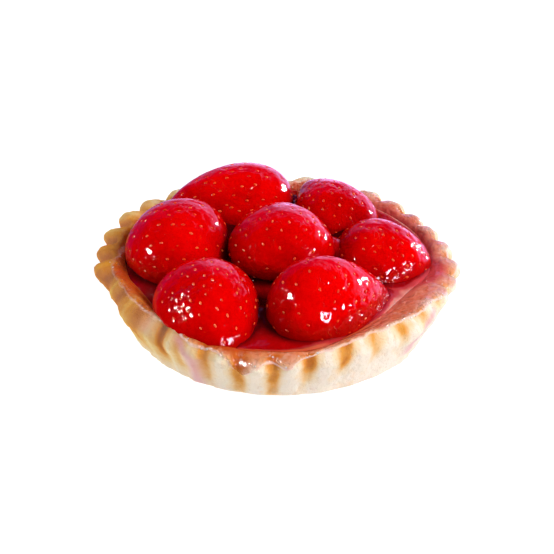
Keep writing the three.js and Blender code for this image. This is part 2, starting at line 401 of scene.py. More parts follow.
def caseStations():
    # From the underside's middle, up the outside, over the rim and down to the middle of the floor.
    s = caseShape
    rows = [station(0, 0)]
    for height, inset in s["wall"] + [(s["lipHeight"], 0)]:
        up = height / s["lipHeight"]
        flare = (s["rimRadius"] - s["baseRadius"]) * up - s["bow"] * math.sin(math.pi * up)
        depth = s["depthAtBase"] + (s["depthAtRim"] - s["depthAtBase"]) * up
        rows.append(station(s["baseRadius"] + flare - inset, height, depth=depth, lip=0.8 * up * up,
                            crest=up, rimShift=up, footShift=1 - up))
    rise = s["height"] - s["lipHeight"]
    for turn in s["rimTurns"]:
        out, up = math.cos(math.radians(turn)), math.sin(math.radians(turn))
        radius = s["rimLine"] + (s["rimRadius"] - s["rimLine"]) * out
        rows.append(station(radius, s["lipHeight"] + rise * up, depth=s["depthAtRim"] * (0.1 + 0.9 * out),
                            drop=s["grooveDrop"] * (2 * out * up * 0.85 + 0.15 * up),
                            lip=1, crest=out, rimLine=1 - out, rimShift=out))
    for inward, height in s["rimSlope"]:
        radius = s["rimLine"] + (s["innerEdge"] - s["rimLine"]) * inward
        rows.append(station(radius, height, drop=0.1 * (1 - inward), lip=1 - inward,
                            rimLine=1 - inward, innerEdge=inward))
    rows += [station(radius, height, innerEdge=share) for radius, height, share in s["inside"]]
    rows.append(station(0, s["floor"]))
    return np.array(rows, dtype=float)


def softLine(rows):
    # The stations joined by a line of close points whose corners are rounded; what is hidden gets few.
    s = caseShape
    steps = np.hypot(*np.diff(rows[:, :2], axis=0).T)
    along = np.concatenate([[0], np.cumsum(steps)])
    fine = 0.1
    ticks = np.arange(0, along[-1], fine)
    dense = np.column_stack([np.interp(ticks, along, column) for column in rows.T])
    reach = int(3 * s["softness"] / fine)
    weights = np.exp(-0.5 * (np.arange(-reach, reach + 1) * fine / s["softness"]) ** 2)
    weights /= weights.sum()
    padded = np.pad(dense, ((reach, reach), (0, 0)), mode="edge")
    soft = np.column_stack([np.convolve(column, weights, mode="valid") for column in padded.T])
    # the foot's corner stays sharper
    foot, rimEnd = (along[number] for number in s["shown"])
    share = (0.3 + 0.7 * smoothStep(ticks, foot, foot + 5))[:, None]
    soft = dense + share * (soft - dense)
    kept, nextTick = [], 0.0
    for i, tick in enumerate(ticks):
        if tick >= nextTick:
            kept.append(i)
            shows = foot - 1 < tick < rimEnd + 1
            nextTick = tick + (s["rowSpacing"] if shows else s["hiddenSpacing"])
    line = soft[kept]
    line[0, 0] = line[-1, 0] = 0
    return line


def flutedCase():
    s = caseShape
    numbers = seededNumbers(11)
    flutes = np.array([[s[part] * (2 * next(numbers) - 1) for part in ("lipUnevenness", "crestUnevenness")]
                       for _ in range(s["flutes"])])
    line = softLine(caseStations())

    def stationsAt(along):
        number = np.round(along * (len(line) - 1)).astype(int)
        return number, dict(zip(stationParts, line[number].T))

    def placed(angle, along):
        _, row = stationsAt(along)
        # the unevenness passes smoothly from one flute to the next, across the crease between them
        position = fluteAngle(angle) * s["flutes"] / math.tau
        number = np.floor(position + 0.5).astype(int)
        share = (position + 0.5 - number)[:, None]
        here, after, before = (flutes[(number + step) % s["flutes"]] for step in (0, 1, -1))
        uneven = here + smoothStep(share, 0.8, 1.2) * (after - here)
        uneven += smoothStep(-share, -0.2, 0.2) * (before - here)
        # and the flutes run out on the rim where it is wide
        rimLine = byHeading(angle, caseRound["rimLine"])
        wide = smoothStep(s["rimLine"] - rimLine, 0.4, 1.8)
        crease = (1 - softCrest(angle)) * byHeading(angle, caseRound["fluting"])
        crease *= 1 - 0.8 * wide * row["rimLine"]
        radius = row["radius"] - row["depth"] * crease + row["crest"] * uneven[:, 1]
        for name in ("rimLine", "innerEdge", "rimShift", "footShift"):
            radius += row[name] * (byHeading(angle, caseRound[name]) - s.get(name, 0))
        # between the crests the rim lies a little lower
        height = row["height"] + row["lip"] * uneven[:, 0] - row["drop"] * crease
        height += 0.5 * row["lip"] * (0.4 - crease)
        # and where its top lies far in, its outside starts to lean in lower down
        lean = smoothStep(row["height"], s["leanFrom"], s["lipHeight"]) * (1 - row["rimLine"])
        lean *= row["rimShift"] > 0
        height -= lean * np.maximum(s["leanShare"] * (s["rimLine"] - rimLine), 0)
        height += byHeading(angle, caseRound["rimRise"]) * row["rimLine"]
        return rolled(radius, angle, height)

    columns = s["flutes"] * s["columnsPerFlute"]
    mesh, angle, along = rolledSheet(columns, len(line) - 1, placed, "crust_baked")
    # how far each point is from the rim's top, the outside positive
    number, row = stationsAt(along)
    rim = byHeading(angle, caseRound["rimLine"])
    across = row["radius"] + row["rimLine"] * (rim - s["rimLine"])
    across += row["innerEdge"] * (innerEdge(angle) - s["innerEdge"])
    across -= rim
    down = s["height"] - row["height"]
    lip = s["height"] - s["lipHeight"]
    outward = np.where(down < lip, across + 0.5 * down, s["rimRadius"] - rim + down - 0.5 * lip)
    outward = np.where(number > np.argmax(line[:, 1]), across, outward)
    return mesh, angle, outward


crustSkin = {
    "coarse": [(2.6, 0.2, 1), (1.15, 0.16, 2), (0.7, 0.1, 6)],  # its lumps: size, height and seed
    "wavy": [(8.0, 0.3, 5), (4.0, 0.14, 8)],
    "blotches": [(5, 1, 7)],
    "ragged": [(3.8, 1.0, 3), (1.5, 0.5, 4)],  # how the glaze's edge wanders
    "glazeFrom": (8, 10),  # heights over which the glaze begins
    "glazeDepth": 0.25,
    "beadAt": 0.7,  # it ends in a bead: how far in from its edge, how wide and how high
    "beadWidth": 0.6,
    "beadDepth": 0.25,
    "browned": (-0.93, -0.15),  # how near the crests the browning begins and is full
    "crestPaleness": 0.2,
    "baked": (190, 46),  # heading and spread of the side with painted shade, darker and more ochre
    "rosyHeading": 18,
}

# runs of pink juice down the outside; above a height the heading turns by so many degrees a millimetre
juiceStreaks = [
    {"heading": 244.2, "turn": -1.6, "above": 13, "spread": 2.5, "low": 0.5, "high": 18, "strength": 1},
    {"heading": 225, "turn": 0, "above": 13, "spread": 3.2, "low": 13, "high": 20, "strength": 0.5},
    {"heading": 322, "turn": 1.8, "above": 10, "spread": 2.6, "low": 5, "high": 17, "strength": 1},
]


def streakedShare(degrees, height):
    fade, total = 2, 0
    for streak in juiceStreaks:
        low, high = streak["low"], streak["high"]
        heading = streak["heading"] + streak["turn"] * np.maximum(height - streak["above"], 0)
        run = around(degrees, heading, streak["spread"])
        run = run * smoothStep(height, low, low + fade) * (1 - smoothStep(height, high - fade, high))
        total = total + streak["strength"] * run
    return np.clip(total, 0, 1)


def buildCrust(finish):
    s = crustSkin
    mesh, angle, outward = flutedCase()
    points, normals = pointsOf(mesh), normalsOf(mesh)
    radius, height = np.hypot(points[:, 0], points[:, 1]), points[:, 2]
    degrees = np.degrees(angle) % 360
    # the glaze and the juice, in millimetres within their ragged edges
    ragged = lumps(points, s["ragged"])
    film = byHeading(angle, caseRound["glazeEdge"], 1.5) - outward + ragged
    fromJelly = outward + byHeading(angle, caseRound["rimLine"]) - innerEdge(angle)
    juice = byHeading(angle, caseRound["juiceEdge"], 2) - fromJelly + 0.6 * ragged
    # the baked skin is coarse, and smooth under the glaze
    highUp = smoothStep(height, *s["glazeFrom"])
    glazed = smoothStep(film, -0.5, 0.5) * highUp
    bead = bell(film - s["beadAt"], s["beadWidth"]) * highUp
    coarse, wavy = lumps(points, s["coarse"]), lumps(points, s["wavy"])
    skin = coarse * (1 - 0.8 * glazed) + wavy + s["glazeDepth"] * glazed + s["beadDepth"] * bead
    rise = smoothStep(height, 0.6, 2.0) * smoothStep(radius, 34, 37) * skin
    movePoints(mesh, points + normals * rise[:, None])
    # the creases are browned, in blotches, and the crests are paler
    groove = smoothStep(-crestShare(angle), *s["browned"]) * smoothStep(outward, -0.5, 1.0)
    low = byHeading(angle, caseRound["brownTo"])
    groove *= byHeading(angle, caseRound["browning"]) * smoothStep(height - low, -2, 6)
    blotched = 1 + (0.25 + 0.6 * around(degrees, 305, 24)) * lumps(points, s["blotches"])
    groove *= blotched * (0.64 + 0.4 * smoothStep(height, 1, 13))
    groove -= s["crestPaleness"] * smoothStep(crestShare(angle), 0.93, 1)
    paint(mesh, "groove", groove)
    paint(mesh, "film", film)
    paint(mesh, "soaked", juice)
    paint(mesh, "grit", coarse / 0.4)
    paint(mesh, "streak", streakedShare(degrees, height))
    # painted shade: darker and more ochre on the left side, away from the key lamp
    paint(mesh, "baked", around(degrees, *s["baked"]) * (0.3 + 0.7 * smoothStep(height, 1, 10)))
    paint(mesh, "rosy", (0.5 + 0.5 * np.cos(np.radians(degrees - s["rosyHeading"]))) ** 1.5)
    print("crust:", len(mesh.polygons), "faces")
    makePiece(mesh, "crust_baked", finish, ["crust"])


def edgeTone(f, rosy, baked):
    # where the jelly thins out on the crust: orange at the front, salmon at the right, and at the left a
    # dark painted shade
    tone = f.mix(f.step(rosy, 0.35, 0.9), "c8501c", "dc7466")
    return f.mix(baked, tone, "c04a10")


def crustFinish():
    f = Finish("baked_shortcrust")
    groove, film, soaked, grit, streak, baked, rosy = f.attributes(
        "groove", "film", "soaked", "grit", "streak", "baked", "rosy")
    height = f.axes(f.place)[2] * (perMm / caseShape["height"])
    patches = f.noise(0.16, 3, 0.6)
    fineGrain = f.noise(1.5, 3, 0.65)
    # pale at the foot and on the crests, caramel in the creases, most of all near the top, with painted
    # shade on the left side, darker and more ochre
    browned = groove * 0.62 + f.step(height, 0.75, 1.0) * 0.12 + baked * 0.5
    browned = browned + (patches - 0.5) * 0.5 + (fineGrain - 0.5) * 0.1 - grit * 0.06
    base = f.ramp(browned, [
        (0.0, "faeadb"), (0.22, "f4d2a4"), (0.48, "e8a040"), (0.72, "cc7610"), (1.0, "9a5406")])
    base = f.mix(baked * 0.9, base, "f4e650", "MULTIPLY")
    pores = f.step(f.noise(0.9, 2, 0.5), 0.6, 0.75) * 0.22
    base = f.mix(pores, base, "bc8038")
    base = f.mix(streak * 0.7, base, "e9a3b0")
    # the glaze tints it, orange at the front and rosy at the right, and red where the juice is deep
    fringe = f.noise(1.2, 2, 0.6) - 0.5
    glazed = f.step(film + fringe * 0.8, -0.4, 0.4)
    thick = f.step(film + fringe + (patches - 0.5) * 5, -1, 4)
    tint = f.mix(rosy, "ee9a62", "ea8a7c")
    base = f.mix(glazed * 0.3 + thick * 0.5, base, tint, "MULTIPLY")
    # here and there it has gone brown, or milky with bubbles
    mottled = f.noise(0.45, 3, 0.6, 0.4)
    toasted = f.mix(rosy, "b4541c", "c8481c")
    base = f.mix(f.step(mottled, 0.52, 0.68) * thick * 0.55, base, toasted)
    base = f.mix(f.step(mottled, 0.46, 0.33) * thick * 0.55, base, "f4c8b4")
    base = f.mix(thick * 0.35, base, f.mix(rosy, "d8703c", "e4583c"))
    base = f.mix(f.step(soaked + fringe * 1.4, -2.2, 0.6), base, edgeTone(f, rosy, baked))
    deep = f.step(soaked + fringe * 2, -0.5, 1.2) * f.step(rosy, 0.84, 0.93)
    base = f.mix(deep * 0.7, base, "cc3848")
    # its edge is a pale line along the rim, a painted highlight, and in places there is froth, painted as
    # bright specks of highlight
    line = f.band(film, -0.5, 0.0, 0.2, 0.7) * f.step(patches, 0.34, 0.5)
    base = f.mix(line * (0.75 - baked * 0.6), base, "ffd8cc")
    frothGlint = (1 - f.step(f.cells(0.62), 0.1, 0.24)) * f.step(f.noise(0.2, 2, 0.5), 0.46, 0.56)
    frothGlint = frothGlint * f.band(film, -1.6, -0.2, 1.6, 3.2)
    base = f.mix(frothGlint * 0.85, base, "fff4f4")
    # matt and grainy where it is bare, and wavy under the glaze, most of all near its edge
    rough = 0.8 - glazed * (0.7 - 0.35 * baked)
    relief = f.bump((f.noise(1.9, 3, 0.6) - 0.5) * (1 - glazed * 0.95), 0.36)
    relief = f.bump((f.noise(0.4, 1, 0.5, 0.4) - 0.5) * glazed, 0.7, relief)
    relief = f.bump((f.noise(0.9, 1, 0.5, 0.6) - 0.5) * glazed * (1 - f.step(film, 1.5, 4)), 0.8, relief)
    relief = f.bump(frothGlint, 0.3, relief)
    return f.surface({
        "Base Color": base, "Roughness": rough, "IOR": 1.45, "Subsurface Weight": 0.35,
        "Subsurface Radius": (1.0, 0.6, 0.35), "Subsurface Scale": 1.2 * mm, "Normal": relief})


berryShape = {
    "stemTaper": 0.46,
    "lumpiness": 0.018,
    "sunkenDepth": 9.5,  # below the widest section
    "nearEnd": 0.98,
    "touchGap": 0.35,
    "pressings": 3,
    "columns": 190,
    "rows": 140,
    "puffs": [(7.0, 0.2, 11), (3.4, 0.07, 13)],  # its lumps: size, height and seed
    "lowPuffs": [(2.0, 0.08, 12)],
    "crinkledPuffs": [(2.2, 0.1, 14)],
    "wavyOver": (1, 8),  # how far above the jelly the glaze stops being wavy
    "shadeReach": 4.0,  # how far off a neighbour the painted shade on the skin reaches
    "pitDepth": 0.2,
    "pitRadius": 0.9,
    "pitStretch": 0.44,  # the pits are longer along the grain
}

seedLayout = {
    "spacing": 4.5,
    "packing": 0.9,
    "berryDepth": 22,
    "castFrom": 1.0,  # above the berry's middle
    "above": 12,  # there are none in the jelly
    "shift": 0.25,  # how far they stray along their spiral and round it
    "stray": 0.35,
    "leastSlant": 0.15,  # none where the grain meets the skin head on
    "sunk": 0.2,
    "askew": 0.5,
    "sizeSpread": 0.25,
    "length": 1.15,
    "width": 0.72,
    "height": 0.44,
}

# place of the widest section, heading and rise of the tip in degrees, length, width, height over the widest
# section, taper, and the heading and rise that the seeds point along
berries = {
    "middle": {
        "at": (0.9, 4.2, 19.2), "heading": 97, "rise": -14, "length": 34.5, "width": 30,
        "height": 11.9, "taper": 0.62, "grain": (97, -10)},
    "left": {
        "at": (-28.8, 3.4, 16.4), "heading": 158, "rise": -6, "length": 29.5, "width": 33,
        "height": 15, "taper": 0.6, "grain": (178, 0), "crinkles": [(260, -2, 26, 0.8)]},
    "back_left": {
        "at": (-15.3, 29.6, 15.4), "heading": 201, "rise": 0.8, "length": 41.2, "width": 24,
        "height": 13.9, "taper": 0.72, "grain": (194, 2)},
    "back_right": {
        "at": (15.2, 28.4, 15.2), "heading": 118, "rise": 9, "length": 32, "width": 24.5,
        "height": 11.8, "taper": 0.8, "grain": (112, 9)},
    "right": {
        "at": (29.8, 3, 15.2), "heading": 2, "rise": 2, "length": 28, "width": 27,
        "height": 12.3, "taper": 0.66, "grain": (-42, 0),
        "crinkles": [(-5, 32, 24, 1.0), (20, 10, 22, 0.8)]},
    "front_right": {
        "at": (15.4, -22.9, 16), "heading": 31, "rise": -3, "length": 38, "width": 24,
        "height": 16, "taper": 0.86, "grain": (100, 0),
        "crinkles": [(14, 4, 16, 0.7), (-35, -4, 24, 1.0)]},
    "front_left": {
        "at": (-17.6, -27.9, 16.6), "heading": -71, "rise": -3, "length": 34, "width": 28.4,
        "height": 12.5, "taper": 0.62, "grain": (-68, 0),
        "crinkles": [(226, 42, 24, 1.2), (240, 22, 18, 0.8), (-30, -5, 22, 0.8)]},
}


def direction(heading, rise):
    h, r = math.radians(heading), math.radians(rise)
    return np.array([math.cos(r) * math.cos(h), math.cos(r) * math.sin(h), math.sin(r)])


def berryAxes(berry):
    along = direction(berry["heading"], berry["rise"])
    h = math.radians(berry["heading"])
    across = np.array([-math.sin(h), math.cos(h), 0])
    return along, across, np.cross(along, across)


def berryProfile(u, taper):
    stem = berryShape["stemTaper"]

    def shape(v):
        return (1 - v) ** taper * (1 + v) ** stem
    return shape(u) / shape((stem - taper) / (stem + taper))


def berryPoints(berry, u, turn):
    # Skin points: u runs from stem (-1) to tip (1), turn round the axis.
    along, across, up = berryAxes(berry)
    share = berryProfile(np.clip(u, -1, 1), berry["taper"])
    uneven = np.sin(3 * turn + berry["heading"]) + 0.7 * np.sin(2 * turn - 3 * u)
    lobes = 1 + berryShape["lumpiness"] * uneven
    side = np.where(np.sin(turn) > 0, berry["height"], berryShape["sunkenDepth"])
    return (np.array(berry["at"]) + np.outer(berry["length"] / 2 * u, along)
            + np.outer(berry["width"] / 2 * share * lobes * np.cos(turn), across)
            + np.outer(side * share * lobes * np.sin(turn), up))


def outsideBerry(berry, points):
    # Roughly how many millimetres the points lie outside a berry.
    along, across, up = berryAxes(berry)
    away = points - np.array(berry["at"])
    u = away @ along / (berry["length"] / 2)
    nearEnd = berryShape["nearEnd"]
    beyond = np.maximum(np.abs(u) - nearEnd, 0)
    share = berryProfile(np.clip(u, -nearEnd, nearEnd), berry["taper"])
    high = away @ up
    side = np.where(high > 0, berry["height"], berryShape["sunkenDepth"])
    radius = np.hypot(away @ across / (berry["width"] / 2), high / side)
    return (radius - share) * berry["width"] / 2 + beyond * berry["length"] / 2


def awayFrom(berry, points):
    # The direction that leads out of a berry at each point.
    nudge = 0.05
    slope = np.column_stack([
        outsideBerry(berry, points + nudge * axis) - outsideBerry(berry, points - nudge * axis)
        for axis in np.eye(3)])
    return slope / (np.linalg.norm(slope, axis=1, keepdims=True) + 1e-9)


def pressApart(earlier, points):
    # Where a berry would reach into an earlier one, it is flattened against it.
    for other in earlier:
        for _ in range(berryShape["pressings"]):
            depth = berryShape["touchGap"] - outsideBerry(other, points)
            inside = depth > 0
            if not inside.any():
                break
            near = points[inside]
            points[inside] = near + awayFrom(other, near) * depth[inside][:, None]
    return points


def seedPlaces(berry, skin, dice):
    # Seeds in a spiral round the grain, cast from the berry's middle onto its skin.
    s = seedLayout
    grain = direction(*berry["grain"])
    side = np.cross(grain, (0, 0, 1))
    side /= np.linalg.norm(side)
    top = np.cross(side, grain)
    length, width, depth = berry["length"], berry["width"], s["berryDepth"]
    area = math.pi * (length * width + length * depth + width * depth) / 3
    count = round(area / (s["packing"] * s["spacing"] ** 2))
    centre = np.array(berry["at"]) + berryAxes(berry)[2] * s["castFrom"]
    goldenAngle = math.pi * (3 - math.sqrt(5))
    nearPole = 0.999
    places = []
    for i in range(count):
        z = 1 - (2 * i + 1) / count + s["shift"] * (dice.random() - 0.5) * 2 / math.sqrt(count)
        z = max(-nearPole, min(nearPole, z))
        turn = goldenAngle * i + s["stray"] * (dice.random() - 0.5)
        ray = z * grain + math.sqrt(1 - z * z) * (math.cos(turn) * side + math.sin(turn) * top)
        place, normal, _, _ = skin.ray_cast(Vector(centre), Vector(ray))
        if place is not None and place.z > s["above"]:
            places.append((np.array(place), np.array(normal)))
    return places, grain


def seedShape():
    # A small teardrop of few faces, its point along x.
    bm = bmesh.new()
    bmesh.ops.create_uvsphere(bm, u_segments=8, v_segments=6, radius=0.5)
    for vertex in bm.verts:
        narrow = 1 - 0.5 * max(vertex.co.x, 0)
        vertex.co.x *= seedLayout["length"]
        vertex.co.y *= seedLayout["width"] * narrow
        vertex.co.z *= seedLayout["height"]
    return meshFrom(bm, "seed_shape")


def seedMesh(places, grain, shape, dice, name):
    s = seedLayout
    bm = bmesh.new()
    for place, normal in places:
        along = grain - normal * (grain @ normal)
        if np.linalg.norm(along) < s["leastSlant"]:
            continue
        along /= np.linalg.norm(along)
        turned = Matrix((along, np.cross(normal, along), normal)).transposed().to_4x4()
        sunk = Matrix.Translation(place - normal * s["sunk"])
        askew = Matrix.Rotation(s["askew"] * (dice.random() - 0.5), 4, "Z")
        sized = Matrix.Scale(1 + s["sizeSpread"] * (dice.random() - 0.5), 4)
        one = shape.copy()
        one.transform(sunk @ turned @ askew @ sized)
        paint(one, "tone", np.full(len(one.vertices), dice.random()))
        bm.from_mesh(one)
        bpy.data.meshes.remove(one)
    return meshFrom(bm, name)


def pittedShare(points, places, grain):
    # 1 in the middle of each seed's pit
    s = berryShape
    share = np.zeros(len(points))
    for place, _ in places:
        off = points - place
        squared = (off * off).sum(axis=1) - (off @ grain) ** 2 * s["pitStretch"]
        share = np.maximum(share, np.exp(-squared / s["pitRadius"] ** 2))
    return share


def crinkledShare(berry, points):
    # Where the glaze has set in crinkles: heading and rise from the berry's middle, spread and strength.
    away = points - np.array(berry["at"])
    away /= np.linalg.norm(away, axis=1, keepdims=True)
    share = np.zeros(len(points))
    for heading, rise, spread, strength in berry.get("crinkles", []):
        off = np.degrees(np.arccos(np.clip(away @ direction(heading, rise), -1, 1)))
        share = np.maximum(share, strength * bell(off, spread))
    return share


def buildBerry(name, berry, earlier, finish, seedLook, shape):
    s = berryShape
    dice = random.Random(f"seeds {name}")

    def placed(turn, along):
        return pressApart(earlier, berryPoints(berry, -np.cos(math.pi * along), turn))

    mesh, _, _ = rolledSheet(s["columns"], s["rows"], placed, f"strawberry_{name}_flesh")
    points = pointsOf(mesh)
    bm = bmesh.new()
    bm.from_mesh(mesh)
    skin = BVHTree.FromBMesh(bm)
    bm.free()
    places, grain = seedPlaces(berry, skin, dice)
    # the glaze runs down and gathers near the jelly, where it is thick and wavy
    wavyFrom, wavyTo = (jellyShape["level"] + over for over in s["wavyOver"])
    low = 1 - smoothStep(points[:, 2], wavyFrom, wavyTo)
    crinkle = crinkledShare(berry, points)
    puffs = lumps(points, s["puffs"])
    puffs += lumps(points, s["lowPuffs"]) * low + lumps(points, s["crinkledPuffs"]) * crinkle
    puffs -= s["pitDepth"] * pittedShare(points, places, grain)
    movePoints(mesh, points + normalsOf(mesh) * puffs[:, None])
    # painted shade: the skin is darkened where another berry is near
    others = [outsideBerry(other, points) for other in berries.values() if other is not berry]
    paint(mesh, "close", np.exp(-np.maximum(np.min(others, axis=0), 0) / s["shadeReach"]))
    paint(mesh, "low", low)
    paint(mesh, "crinkle", crinkle)
    makePiece(mesh, f"strawberry_{name}_flesh", finish, [f"strawberry_{name}"])
    seeds = seedMesh(places, grain, shape, dice, f"strawberry_{name}_seeds")
    makePiece(seeds, f"strawberry_{name}_seeds", seedLook)
    print(f"strawberry {name}: {len(places)} seeds")


def fleshFinish():
    f = Finish("glazed_strawberry")
    close, low, crinkle = f.attributes("close", "low", "crinkle")
    depth = f.noise(0.08, 2, 0.5) * 0.7 + f.noise(0.9, 3, 0.6) * 0.3
    base = f.ramp(depth, [(0.25, "bc0000"), (0.5, "e40000"), (0.75, "fa0303")])
    # painted shade: darker red low down by the jelly, and darkest where other berries are near
    base = f.mix(low * 0.3, base, "8a0004")
    base = f.mix(close * 0.8, base, "560008")
    # wrinkles in the skin, with painted highlights along them here and there
    lines = f.noise(0.16, 3, 0.6, 0.8)
    wrinkleAndGlint = f.band(lines, 0.488, 0.5, 0.5, 0.512)
    wrinkleAndGlint = wrinkleAndGlint * f.step(f.noise(0.2, 2, 0.5), 0.5, 0.6) * (low * 0.6 + 0.4)
    base = f.mix(wrinkleAndGlint * 0.45, base, "e04818")
    # the glaze over it: long waves all over, short ones low down, and crinkles in places
    glaze = f.bump(f.noise(0.22, 2, 0.4, 0.3), 0.6)
    glaze = f.bump(f.noise(0.6, 2, 0.5, 0.6) * (low * 0.7 + 0.3), 0.25, glaze)
    glaze = f.bump(wrinkleAndGlint, 0.15, glaze)
    glaze = f.bump((f.noise(0.5, 1, 0.4, 0.5) - 0.5) * f.step(crinkle, 0.1, 1.0), 0.9, glaze)
    return f.surface({
        "Base Color": base, "Roughness": 0.045, "IOR": 1.45, "Subsurface Weight": 0.5,
        "Subsurface Radius": (1.0, 0.08, 0.05), "Subsurface Scale": 2.5 * mm, "Normal": glaze})


def seedFinish():
    f = Finish("strawberry_seed")
    tone, = f.attributes("tone")
    base = f.ramp(tone, [(0.0, "dc2e10"), (0.5, "f44820"), (1.0, "fc6a3a")])
    return f.surface({
        "Base Color": base, "Roughness": 0.25, "IOR": 1.4, "Subsurface Weight": 0.4,
        "Subsurface Radius": (1.0, 0.3, 0.1), "Subsurface Scale": 0.6 * mm})


jellyShape = {
    "level": 14.6,
    "underside": 4.2,
    "sideHeight": 9.5,
    "sideInset": 7,
    "overlap": 0.4,  # it reaches a little into the case
    "columns": 420,
    "rows": 100,
    "rimRows": 8,  # the underside and the side
    "waves": 0.12,
    "sunk": 0.15,
    "lumps": [(5.0, 0.12, 21), (1.6, 0.04, 22)],  # size, height and seed
    "rise": 1.9,  # how far it climbs a berry
    "climb": 1.1,  # how quickly that dies away from the berry
    "lessClimb": [(330, 34), (272, 12)],  # headings and spreads where it climbs less, outside the middle
    "bridge": 4.0,  # how far it is drawn up in a narrow gap
    "gap": 3.0,
    "pool": 5.0,  # and where three berries meet
    "poolGap": 5.5,
    "noBridge": (85, 16),  # heading and spread where it isn't drawn up
    "outside": (26, 34),
    "most": 5.5,  # as far as it can be drawn up
    # between the middle, right and front right berries it hangs higher: place, rise and spread
    "web": (16.5, 2.0, 4.5, 7.0),
    "rimReach": 1.4,
    "edgeRise": 0.25,  # its edge passes under the rim's slope
    # how far it is drawn up the rim: heading and rise
    "rimRise": [(0, 0.6), (60, 0.5), (180, 0.2), (225, 0.3), (240, 1), (285, 1), (300, 0.5)],
}


def webShare(points):
    x, y, _, spread = jellyShape["web"]
    return np.exp(-((points[:, 0] - x) ** 2 + (points[:, 1] - y) ** 2) / spread ** 2)


def jellyHeights(points):
    # The height of the surface, the distances to the nearest two berries, and that to the case.
    s = jellyShape
    flat = np.column_stack([points[:, 0], points[:, 1], np.full(len(points), s["level"])])
    angle = np.arctan2(points[:, 1], points[:, 0])
    radius, degrees = np.hypot(points[:, 0], points[:, 1]), np.degrees(angle)
    outside = smoothStep(radius, *s["outside"])
    away = np.sort(np.array([outsideBerry(berry, flat) for berry in berries.values()]), axis=0)
    near, second, third = np.maximum(away[:3], 0)
    height = s["level"] + s["waves"] * np.sin(3 * angle) - s["sunk"]
    flatter = sum(around(degrees, *place) for place in s["lessClimb"])
    climbing = 1 - 0.6 * np.minimum(flatter, 1) * outside
    height += s["rise"] * climbing * np.exp(-near / s["climb"])
    bridging = 1 - around(degrees, *s["noBridge"]) * outside
    height += s["bridge"] * bridging * np.exp(-(near + second) / s["gap"])
    height += s["pool"] * bridging * np.exp(-(near + second + third) / s["poolGap"])
    height = s["level"] + s["most"] * np.tanh((height - s["level"]) / s["most"])
    height += s["web"][2] * webShare(points)
    toWall = np.maximum(innerEdge(angle) - radius, 0)
    height += byHeading(angle, s["rimRise"]) * np.exp(-toWall / s["rimReach"])
    height += lumps(flat, s["lumps"])
    height = np.minimum(height, s["level"] + s["edgeRise"] + toWall)
    return height, near, second, toWall


def buildJelly(finish):
    s = jellyShape
    rim = s["rimRows"] / s["rows"]

    def placed(angle, along):
        # the underside and the side come first, from the middle out and up, then the top back to the middle
        width = innerEdge(angle) + s["overlap"]
        below = along / rim
        side = width * np.minimum(below * 1.25, 1) - s["sideInset"] * (below < 0.95)
        radius = np.where(along < rim, side, width * (1 - along) / (1 - rim))
        climb = s["underside"] + s["sideHeight"] * smoothStep(below, 0.75, 1)
        return rolled(np.maximum(radius, 0), angle, np.where(along < rim, climb, s["level"]))

    mesh, angle, along = rolledSheet(s["columns"], s["rows"], placed, "jelly_filling")
    points = pointsOf(mesh)
    hair = 1e-4
    top = along > rim + hair
    height, near, second, toWall = jellyHeights(points)
    points[top, 2] = height[top]
    movePoints(mesh, points)
    # it is thin on the crust, most at the right front, and hardly at the left or by a berry
    degrees = np.degrees(angle)
    width = 1.0 + 3.6 * around(degrees, 334, 22) + 2.4 * around(degrees, 288, 9)
    thin = bell(toWall, width) * (1 - 0.9 * around(degrees, 195, 40))
    paint(mesh, "thin", thin * (1 - 0.85 * bell(near, 1.3)))
    # painted shade: it is darker near the berries and in the gaps between them, and on the left side; less
    # so at the right front and the back, and in the web
    inside = 1 - smoothStep(np.hypot(points[:, 0], points[:, 1]), 26, 36)
    between = np.exp(-(near + second) / 5) + 0.8 * inside * np.exp(-(near + second) / 14)
    outer = around(degrees, 330, 34) * (1 - inside)
    close = (np.exp(-near / 1.5) + between) * (1 - 0.7 * outer)
    close *= 1 - 0.8 * around(degrees, 78, 16) * (1 - inside)
    close *= 1 - 0.95 * webShare(points)
    paint(mesh, "close", close + 0.3 * around(degrees, 200, 30))
    paint(mesh, "rosy", 0.5 + 0.5 * np.cos(np.radians(degrees - 5)))
    # painted shade on the left side, for the jelly's thin edge on the crust
    paint(mesh, "baked", around(degrees, 200, 34))
    print("jelly:", len(mesh.polygons), "faces")
    makePiece(mesh, "jelly_filling", finish, ["jelly"])


def jellyFinish():
    f = Finish("red_jelly")
    thin, close, rosy, baked = f.attributes("thin", "close", "rosy", "baked")
    # painted shade: darker near the berries and on the left
    deep = f.mix(close, "b80408", "520408")
    patches = thin + (f.noise(0.16, 2, 0.5) - 0.5) * 0.9 * f.step(thin, 0.02, 0.3)
    edge = f.mix(rosy, "b01c0c", "c03c44")
    base = f.mix(f.step(patches, 0.1, 0.5), deep, edge)
    base = f.mix(f.step(patches, 0.5, 0.95), base, edgeTone(f, rosy, baked))
    rosiest = f.step(rosy, 0.955, 0.98)
    base = f.mix(f.step(patches, 0.4, 0.8) * rosiest * 0.8, base, "cc3848")
    milky = f.step(patches, 0.6, 1.0) * f.step(rosy, 0.8, 0.95) * (1 - rosiest)
    base = f.mix(milky * 0.7, base, "e8a49c")
    wobble = f.bump(f.noise(0.3, 2, 0.5, 0.5), 0.5)
    return f.surface({
        "Base Color": base, "Roughness": 0.045, "IOR": 1.45, "Subsurface Weight": 0.4,
        "Subsurface Radius": (1.0, 0.1, 0.08), "Subsurface Scale": 2 * mm, "Normal": wobble})


studio = {
    "tableSize": 3,  # metres, as are the lamps' distances and sizes
    "tableGlow": 0.93,
    "cameraDistance": 500,
    "cameraElevation": 33.22,
    "aim": (0.2, 5.1, 7.8),
    "roll": 1.89,
    "sensor": 36,
    "fieldWidth": 554 / 1744.54,  # the view's width over its distance
}

